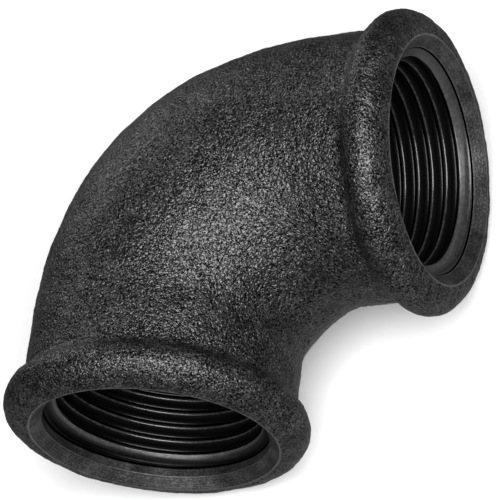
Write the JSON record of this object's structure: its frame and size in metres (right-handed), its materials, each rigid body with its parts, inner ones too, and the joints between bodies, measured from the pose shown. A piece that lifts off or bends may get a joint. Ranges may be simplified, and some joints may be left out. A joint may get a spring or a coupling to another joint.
{
  "type": "pipe elbow",
  "caption": "Right-angle pipe elbow in black malleable cast iron, with a raised bead and an internal pipe thread at each mouth.",
  "frame": {"origin": "middle of the bounding box's underside, with the elbow lying on its side", "axes": "+X out of one port, -Y out of the other, +Z square to the plane of the bend"},
  "size_m": [0.051, 0.051, 0.0361],
  "materials": {
    "black_iron": "black oiled casting skin, satin, finely pebbled"
  },
  "bodies": {
    "root": {"elbow_casting": "black_iron"}
  },
  "joints": []
}
